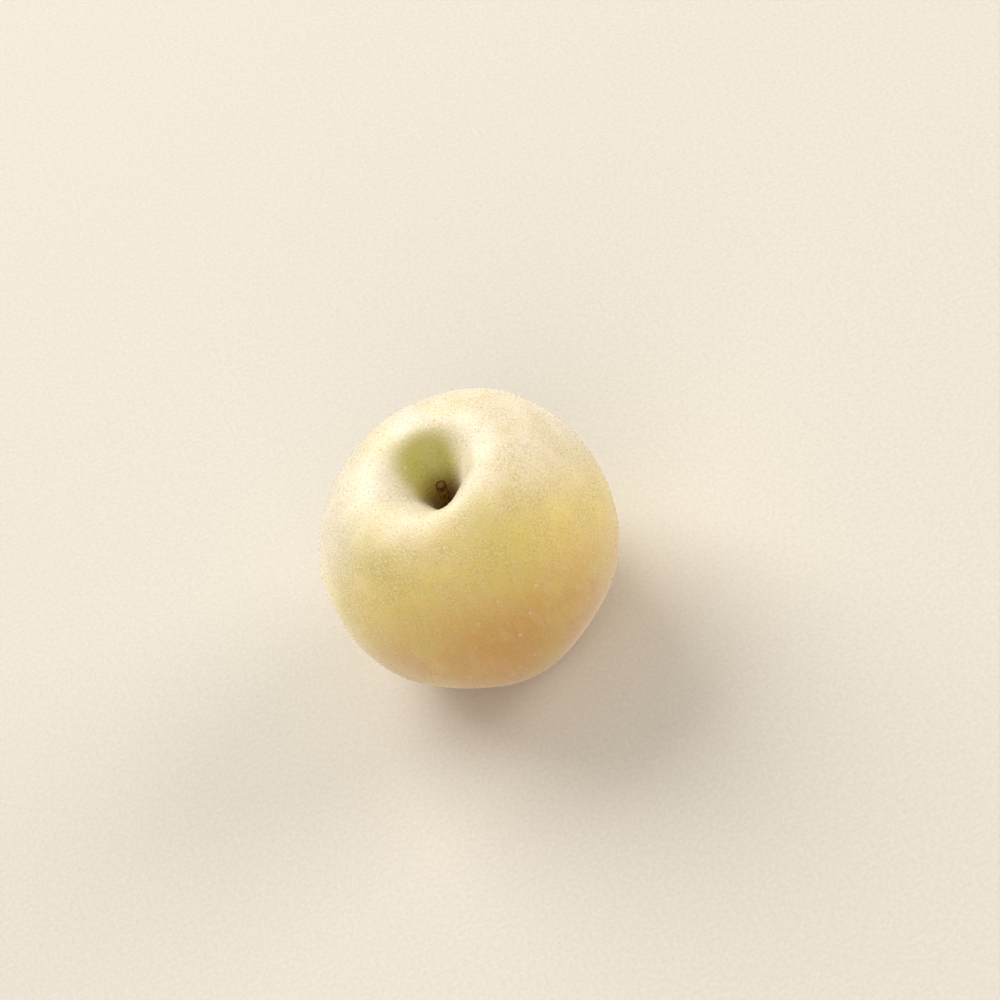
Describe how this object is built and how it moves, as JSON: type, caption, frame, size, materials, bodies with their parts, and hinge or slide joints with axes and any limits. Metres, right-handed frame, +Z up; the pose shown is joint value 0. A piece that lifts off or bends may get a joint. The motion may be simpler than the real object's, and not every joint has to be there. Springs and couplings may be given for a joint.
{
  "type": "apple",
  "caption": "Rounded pale golden dessert apple with a deep stalk cavity, a short woody stalk and a dried calyx in a shallow basin.",
  "frame": {"origin": "on the table, under the middle of the fruit's box, where the lobes of its calyx end stand", "axes": "+Z up along the core from the calyx to the stalk; -Y faces the picture's camera"},
  "size_m": [0.085, 0.0834, 0.0732],
  "materials": {
    "skin": "satin",
    "stalk_wood": "matte",
    "dried_leaf": "matte",
    "dried_thread": "matte"
  },
  "bodies": {
    "root": {"fruit": "skin", "stalk": "stalk_wood", "calyx_sepals": "dried_leaf", "calyx_stamens": "dried_thread"}
  },
  "joints": []
}
